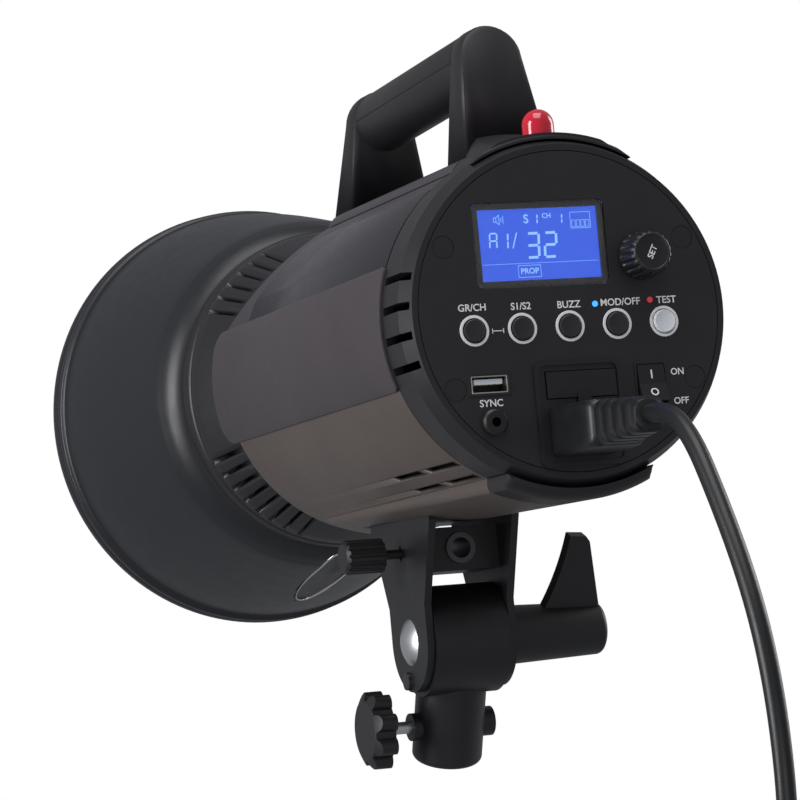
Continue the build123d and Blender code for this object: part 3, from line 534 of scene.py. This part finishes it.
# words: flat, on the panel's face, riding the body under them
def words(name, text, size, x, z, material="ink", y=-0.04, body="head", turn=0.0, tilt=0.0):
    curve = bpy.data.curves.new(name, "FONT")
    curve.body = text
    curve.size = size
    curve.align_x = "CENTER"
    curve.align_y = "CENTER"
    curve.offset = 0.06 * size / 4
    curve.resolution_u = 4
    flat = bpy.data.objects.new(name + "Flat", curve)
    scene.collection.objects.link(flat)
    bpy.context.view_layer.update()
    mesh = bpy.data.meshes.new_from_object(flat.evaluated_get(bpy.context.evaluated_depsgraph_get()))
    bpy.data.objects.remove(flat)
    spin = Matrix.Rotation(math.radians(turn), 4, "Z")
    mesh.transform(headMatrix @ Matrix.Translation((x, y, z)) @ Matrix.Rotation(math.radians(90 + tilt), 4, "X")
                   @ spin)
    mesh.materials.clear()
    mesh.materials.append(mats[material])
    obj = bpy.data.objects.new(name, mesh)
    scene.collection.objects.link(obj)
    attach(obj, body)
    return obj


panelWords = [("wordGroup", "GR/CH", 3.7, -38.9, 2.7), ("wordSlave", "S1/S2", 3.7, -19.5, 2.4),
              ("wordBuzz", "BUZZ", 3.7, -0.3, 2.2), ("wordLamp", "MOD/OFF", 3.7, 20.6, 2.2),
              ("wordTest", "TEST", 3.7, 39.4, 2.2), ("wordSync", "SYNC", 3.7, -34.6, -32.9),
              ("wordOn", "ON", 3.5, 41.2, -25.0), ("wordOff", "OFF", 3.5, 41.8, -36.0)]
for name, text, size, x, z in panelWords:
    words(name, text, size, x, z)
words("rockerOn", "I", 4.6, 30.25, -25.6, y=-0.86, body="rocker", tilt=-5.3)
words("rockerOff", "O", 4.2, 30.25, -32.4, y=-2.56, body="rocker", tilt=-22.7)
words("wordSet", "SET", 3.4, 30.3, 19.0, y=-12.06, body="dial", turn=62)
screenWords = [("screenMode", "S", 4.6, -13.4, 35.0), ("screenChannel", "CH", 2.6, -5.1, 36.0),
               ("screenProp", "PROP", 3.0, -13.7, 15.6)]
for name, text, size, x, z in screenWords:
    words(name, text, size, x, z, "screenInk", y=2.26)


# lower shell: thin wall with slanted cooling slots, and the keel below it
slotSize = {"half": 1.55, "lean": 1.6, "rows": (-52.8, -61.0), "runs": ((26.5, 58.5), (63.5, 93.5))}


def makeLower():
    obj = shellSkin("casingLower", "lower", "lower_shell", 64.3, 65.8, 201.5, 338.5, lambda d: 24.0, lambda d: 215.0,
                    bevel=0.3, steps=140)
    cutters = bmesh.new()
    for row in slotSize["rows"]:
        for low, high in slotSize["runs"]:
            for side, turn in ((1, row), (-1, 180 - row)):
                box = bmesh.new()
                h, k = slotSize["half"], slotSize["lean"]
                ends = [(60, low - k, -h), (60, high - k, -h), (60, high + k, h), (60, low + k, h)]
                if side < 0:
                    ends = [(x, y, -z) for x, y, z in ends]
                skinLoops(box, [ends, [(72, y, z) for x, y, z in ends]])
                bmesh.ops.transform(box, matrix=Matrix.Rotation(math.radians(-turn), 4, "Y"), verts=box.verts)
                scratch = bpy.data.meshes.new("scratch")
                box.to_mesh(scratch)
                box.free()
                cutters.from_mesh(scratch)
                bpy.data.meshes.remove(scratch)
    cutWith(obj, finishPiece("slotCutter", cutters, "lower", []))
    # near-black sheet behind the slots, painted shade for the dark inside of the casing seen through them
    bm = bmesh.new()
    lathe(bm, [(61.6, 25), (62.2, 25), (62.2, 205), (61.6, 205)], 80, 203, 337)
    finishPiece("slotShadeSheet", bm, "black", [])


makeLower()


def makeKeel(name, material, yRear, yFront, replaced):
    # crowned across and rounded off at its sides and rear
    bm = bmesh.new()
    loops = []
    count = 48
    for s in range(13):
        y = yRear + (yFront - yRear) * s / 12
        height = 4.6 + (1.4 - 4.6) * (y - 3) / 203
        height *= min(1.0, ((y - 2.6) / 4.5) ** 0.5)
        loop = []
        for i in range(count + 1):
            degree = 243.5 + 53 * i / count
            edge = min(i, count - i) / count * 53 / 2.2
            r = 65.82 + height * min(1.0, edge) ** 0.6
            loop.append((r * math.cos(math.radians(degree)), y, r * math.sin(math.radians(degree))))
        for i in range(count, -1, -1):
            degree = math.radians(243.5 + 53 * i / count)
            loop.append((65.8 * math.cos(degree), y, 65.8 * math.sin(degree)))
        loops.append(loop)
    skinLoops(bm, loops)
    return finishPiece(name, bm, material, replaced, smoothBelow=50)


makeKeel("keelRear", "ring", 3.0, 23.8, [])
keelMain = makeKeel("keelMain", "lower", 24.2, 206.0, ["keel_pad"])
seatCut = bmesh.new()
prism(seatCut, [(-19.4, -90), (19.4, -90), (19.4, -63.6), (-19.4, -63.6)], 113, 184)
cutWith(keelMain, finishPiece("seatCutter", seatCut, "lower", []))


# top tray and fairing, feathered down at their sides
def makeTop(name, material, replaced, yRear, yFront, half, rise, feather):
    bm = bmesh.new()
    loops = []
    count = 60
    for s in range(31):
        y = yRear + (yFront - yRear) * s / 30
        width, height = half(y), rise(y)
        start = 90 - math.degrees(math.asin(width / 66))
        loop = []
        for i in range(count + 1):
            degree = start + (180 - 2 * start) * i / count
            reach = min(i, count - i) / count * 2 * width / feather
            r = 65.45 + height * min(1.0, reach) ** 0.7
            loop.append((r * math.cos(math.radians(degree)), y, r * math.sin(math.radians(degree))))
        for i in range(count, -1, -1):
            degree = math.radians(start + (180 - 2 * start) * i / count)
            loop.append((65.2 * math.cos(degree), y, 65.2 * math.sin(degree)))
        loops.append(loop)
    skinLoops(bm, loops)
    return finishPiece(name, bm, material, replaced, smoothBelow=50)


makeTop("topTray", "shell", ["top_tray"], 24.3, 165, lambda y: 32.3, lambda y: 2.0, 4.0)
makeTop("topLip", "ring", [], 3.6, 24.0, lambda y: 32.3, lambda y: 2.0 * min(1, ((y - 3.3) / 3) ** 0.5), 5.0)
makeTop("topFairing", "ring", ["top_fairing"], 4.6, 47.8,
        lambda y: 27 - 9.5 * min(1, max(0, (y - 12) / 36)),
        lambda y: 2.3 + 6.1 * min(1, max(0, (y - 5) / 40)) ** 1.4, 7.0)
print("tops and keel made")


# data port: black surround, plated shell and a tongue with contacts
def rectRing(name, material, outer, inner, corner, y0, y1, replaced=(), bevel=0.15):
    (cx, cz), (ow, oh), (iw, ih) = outer[:2], outer[2:], inner
    bm = bmesh.new()
    loops = []
    for y, w, h, c in ((y0, ow, oh, corner), (y1, ow, oh, corner), (y1, iw, ih, corner * 0.6), (y0, iw, ih, corner * 0.6)):
        loops.append([(cx + a, y, cz + b) for a, b in roundedLoop(w, h, c)])
    skinLoops(bm, loops, closed=True)
    return finishPiece(name, bm, material, list(replaced), bevel=bevel)


def slabPiece(name, material, cx, cz, halfW, halfH, corner, y0, y1, replaced=(), bevel=0.2, body="head"):
    bm = bmesh.new()
    prism(bm, [(cx + a, cz + b) for a, b in roundedLoop(halfW, halfH, corner)], y0, y1)
    return finishPiece(name, bm, material, list(replaced), body, bevel=bevel)


rectRing("portSurround", "control", (-34.6, -25.8, 8.5, 4.5), (7.3, 3.35), 0.8, -0.25, 2.5, ["usb_port"])
rectRing("portShell", "metal", (-34.6, -25.8, 7.28, 3.33), (6.75, 2.8), 0.5, 0.1, 7.6)
# near-black back of the port: painted shade deep inside the port
slabPiece("portBackShade", "black", -34.6, -25.8, 6.7, 2.75, 0.3, 7.0, 7.5)
slabPiece("portTongue", "white", -34.6, -24.7, 5.6, 0.95, 0.15, 1.3, 7.0, bevel=0.08)
for i in range(4):
    slabPiece(f"portContact{i + 1}", "gold", -38.1 + 2.33 * i, -25.75, 0.55, 0.09, 0.03, 1.7, 6.5, bevel=0.0)

# rocker's rim
rectRing("rockerRim", "control", (30.25, -30.65, 6.5, 10.3), (5.72, 9.12), 0.9, -0.5, 0.4)


def ribbedPlug():
    # moulded connector: rounded block, shoulder, then a ribbed sleeve down to the cord
    bm = bmesh.new()
    stations = [(-0.3, 12.9, 9.3, 2.4), (-4, 12.85, 9.3, 2.4), (-12, 12.4, 9.25, 2.6), (-24, 11.6, 9.1, 2.8),
                (-29.5, 11.1, 9.0, 3.0), (-32.0, 10.6, 8.8, 3.4), (-33.2, 9.8, 8.3, 3.8), (-33.6, 9.2, 7.8, 4.0)]
    y = -34.0
    for rib in range(4):
        share = rib / 4
        w, h = 9.5 - 3.2 * share, 8.2 - 1.7 * share
        stations += [(y, w, h, 3.8), (y - 4.6, w - 0.55, h - 0.3, 3.8), (y - 4.9, w - 2.0, h - 1.5, 3.4),
                     (y - 6.6, w - 2.2, h - 1.7, 3.2), (y - 6.9, w - 0.9, h - 0.5, 3.8)]
        y -= 7.0
    stations = [t for t in stations if t[0] > -61.8] + [(-61.8, 5.3, 5.3, 5.2)]
    loops = [[(0.5 + a, yy, -45 + b) for a, b in roundedLoop(w, h, min(c, w - 0.05, h - 0.05), 7)]
             for yy, w, h, c in stations]
    skinLoops(bm, loops)
    return finishPiece("connectorBody", bm, "cord", ["mains_plug"], bevel=0.25, smoothBelow=28)


ribbedPlug()
print("port and connector made")


# soft light seal across the umbrella hole
def makeFlap():
    bm = bmesh.new()
    middle = bm.verts.new((0, 295.5, -78.4))
    ring = []
    for i in range(48):
        a = 2 * math.pi * i / 48
        x, z = 7.9 * math.cos(a), -78.4 + 7.9 * math.sin(a)
        radius = math.hypot(x, z)
        y = next((p[1] + (radius - p[0]) * (q[1] - p[1]) / max(q[0] - p[0], 1e-6)
                  for p, q in zip(bellCurve, bellCurve[1:]) if p[0] <= radius <= q[0]), bellCurve[0][1])
        ring.append(bm.verts.new((x, y + 1.6, z)))
    for i in range(48):
        bm.faces.new((middle, ring[i], ring[(i + 1) % 48]))
    finishPiece("holeSeal", bm, "paint", [], "reflector", smoothBelow=80)


makeFlap()


# display segments
segmentShape = {"3": "abgcd", "2": "abged", "1": "bc", "A": "abcefg"}


def segmentDigit(name, char, x, z, width, height, stroke=0.42):
    bm = bmesh.new()
    half, q = width / 2, height / 2
    lines = {"a": ((-half, q), (half, q)), "d": ((-half, -q), (half, -q)), "g": ((-half, 0), (half, 0)),
             "b": ((half, q), (half, 0)), "c": ((half, 0), (half, -q)), "e": ((-half, 0), (-half, -q)),
             "f": ((-half, q), (-half, 0))}
    for key in segmentShape[char]:
        (x0, z0), (x1, z1) = lines[key]
        gap = stroke * 0.75
        if z0 == z1:
            corners = [(x0 + gap, z0 - stroke), (x1 - gap, z0 - stroke), (x1 - gap, z0 + stroke), (x0 + gap, z0 + stroke)]
        else:
            corners = [(x0 - stroke, z1 + gap), (x0 + stroke, z1 + gap), (x0 + stroke, z0 - gap), (x0 - stroke, z0 - gap)]
        bm.faces.new([bm.verts.new((x + a + 0.06 * b, 2.27, z + b)) for a, b in corners])
    return finishPiece(name, bm, "screenInk", [])


for name, char, x, z, w, h, stroke in (("digitThree", "3", -11.4, 25.2, 4.6, 9.0, 0.5), ("digitTwo", "2", -4.4, 25.2, 4.6, 9.0, 0.5),
                                       ("digitGroup", "A", -27.2, 27.4, 2.8, 5.6, 0.3), ("digitOne", "1", -22.6, 27.2, 2.4, 5.8, 0.32),
                                       ("digitMode", "1", -9.9, 35.0, 2.0, 3.6, 0.26), ("digitChannel", "1", 0.0, 34.8, 2.0, 3.6, 0.26)):
    segmentDigit(name, char, x, z, w, h, stroke)


def strokes(name, lines, material="screenInk", y=2.27, width=0.16):
    # flat straight strokes between (x, z) points
    bm = bmesh.new()
    for (x0, z0), (x1, z1) in lines:
        run = math.hypot(x1 - x0, z1 - z0)
        nx, nz = -(z1 - z0) / run * width, (x1 - x0) / run * width
        bm.faces.new([bm.verts.new((a, y, b)) for a, b in ((x0 - nx, z0 - nz), (x1 - nx, z1 - nz), (x1 + nx, z1 + nz),
                                                          (x0 + nx, z0 + nz))])
    return finishPiece(name, bm, material, [])


def frameLines(x0, x1, z0, z1):
    return [((x0, z0), (x1, z0)), ((x1, z0), (x1, z1)), ((x1, z1), (x0, z1)), ((x0, z1), (x0, z0))]


strokes("screenRule", [((-32.0, 18.6), (14.0, 18.6))], width=0.07)
strokes("screenPropFrame", frameLines(-18.2, -9.2, 13.4, 17.8), width=0.09)
strokes("screenSlash", [((-19.6, 24.4), (-17.6, 30.2))], width=0.22)
cells = frameLines(4.4, 12.4, 31.0, 37.0)
for i in range(4):
    cells += frameLines(4.9 + 1.85 * i, 6.3 + 1.85 * i, 31.5, 34.0)
strokes("screenBattery", cells, width=0.09)
strokes("screenSpeaker", frameLines(-26.4, -25.4, 34.4, 36.0) + [((-25.4, 36.0), (-24.2, 37.0)), ((-25.4, 34.4), (-24.2, 33.4)),
        ((-24.2, 33.4), (-24.2, 37.0)), ((-23.4, 34.4), (-23.4, 36.0)), ((-22.6, 33.8), (-22.6, 36.6))], width=0.12)
strokes("linkMark", [((-31.6, -6.2), (-27.2, -6.2)), ((-31.6, -5.3), (-31.6, -7.1)), ((-27.2, -5.3), (-27.2, -7.1))],
        "ink", y=-0.05, width=0.16)

# cord: out of the plug's sleeve, down in one sweep, round the coil and into its plug
cordPoints = [(-165.27, 198.78), (-179.58, 205.0), (-201.0, 201.6), (-224.7, 187.2), (-247.0, 171.6), (-263.8, 156.5),
              (-277.2, 139.9), (-287.6, 122.2), (-295.7, 103.8), (-301.5, 82.0), (-306.5, 58.5)]
coilMiddle = (-273.4, 13.9)


def makeCord():
    turns, perTurn, meanR = 6, 16, 39.0
    places = [(0.5, y, z) for y, z in cordPoints]
    lanes = [0.0, 7.0, 7.0, 0.0, -7.0, -7.0]
    depth = [3.5, 3.5, -3.5, -3.5, -3.5, 3.5]
    first = 172
    for i in range(turns * perTurn + 1):
        a = math.radians(first + 360 * i / perTurn)
        at = i / perTurn
        k = min(int(at), turns - 1)
        t = at - k
        t = t * t * (3 - 2 * t)
        n = min(k + 1, turns - 1)
        x = 0.5 + lanes[k] + (lanes[n] - lanes[k]) * t
        r = meanR + depth[k] + (depth[n] - depth[k]) * t
        places.append((x, coilMiddle[0] + r * math.cos(a), coilMiddle[1] + r * math.sin(a)))
    x, y, z = places[-1]
    places += [(x * 0.7, y + 1.0, z - 12), (0.8, coilMiddle[0] - 39.2, z - 24), (0.5, coilMiddle[0] - 39.0, -30.1)]
    curve = bpy.data.curves.new("mainsCord", "CURVE")
    curve.dimensions = "3D"
    curve.resolution_u = 6
    curve.bevel_depth = 3.5 * mm
    curve.bevel_resolution = 5
    spline = curve.splines.new("NURBS")
    spline.points.add(len(places) - 1)
    for point, place in zip(spline.points, places):
        point.co = (*[v * mm for v in place], 1)
    spline.order_u = 3
    spline.use_endpoint_u = True
    curve.materials.append(mats["cord"])
    obj = bpy.data.objects.new("mainsCord", curve)
    scene.collection.objects.link(obj)
    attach(obj, "head")
    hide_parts("cord_tube", "cord_coil", "cord_tail")
    run = sum((Vector(b) - Vector(a)).length for a, b in zip(places, places[1:]))
    print("cord points give", round(run), "mm")
    return obj, run


mainsCord, cordRun = makeCord()

# stage
floorMat = bpy.data.materials.new("floor")
floorMat.use_nodes = True
floorMat.node_tree.nodes["Principled BSDF"].inputs["Base Color"].default_value = (0.9, 0.9, 0.9, 1)


def softLight(name, place, target, size, power):
    data = bpy.data.lights.new(name, "AREA")
    data.shape = "RECTANGLE"
    data.size, data.size_y = size
    data.energy = power
    lamp = bpy.data.objects.new(name, data)
    lamp.location = place
    lamp.rotation_euler = (Vector(target) - Vector(place)).to_track_quat("-Z", "Y").to_euler()
    scene.collection.objects.link(lamp)
    return lamp


softLight("keyLeft", (-1.7, -0.1, 0.45), (0, 0.1, 0.1), (0.5, 1.4), 24)
softLight("topSoft", (-0.2, 0.1, 1.9), (0, 0, 0.1), (1.4, 1.2), 17)
softLight("rightRim", (1.5, 0.3, 0.5), (0, 0, 0.1), (0.6, 1.2), 12)
softLight("frontFill", (-0.5, -1.9, 0.5), (0, 0, 0.1), (0.8, 0.8), 3.5)

world = bpy.data.worlds.new("studio")
scene.world = world
world.use_nodes = True
wt = world.node_tree
wt.nodes.clear()
out = addNode(wt, "ShaderNodeOutputWorld")
rays = addNode(wt, "ShaderNodeLightPath")
white = addNode(wt, "ShaderNodeBackground", Color=(1, 1, 1, 1), Strength=1.0)
soft = addNode(wt, "ShaderNodeBackground", Color=(0.92, 0.94, 1, 1), Strength=0.30)
either = addNode(wt, "ShaderNodeMath", operation="MAXIMUM")
mix = addNode(wt, "ShaderNodeMixShader")
wt.links.new(rays.outputs["Is Camera Ray"], either.inputs[0])
wt.links.new(rays.outputs["Is Transmission Ray"], either.inputs[1])
wt.links.new(either.outputs[0], mix.inputs["Fac"])
wt.links.new(soft.outputs[0], mix.inputs[1])
wt.links.new(white.outputs[0], mix.inputs[2])
wt.links.new(mix.outputs[0], out.inputs["Surface"])
scene.view_settings.view_transform = "Standard"
print("stage set")
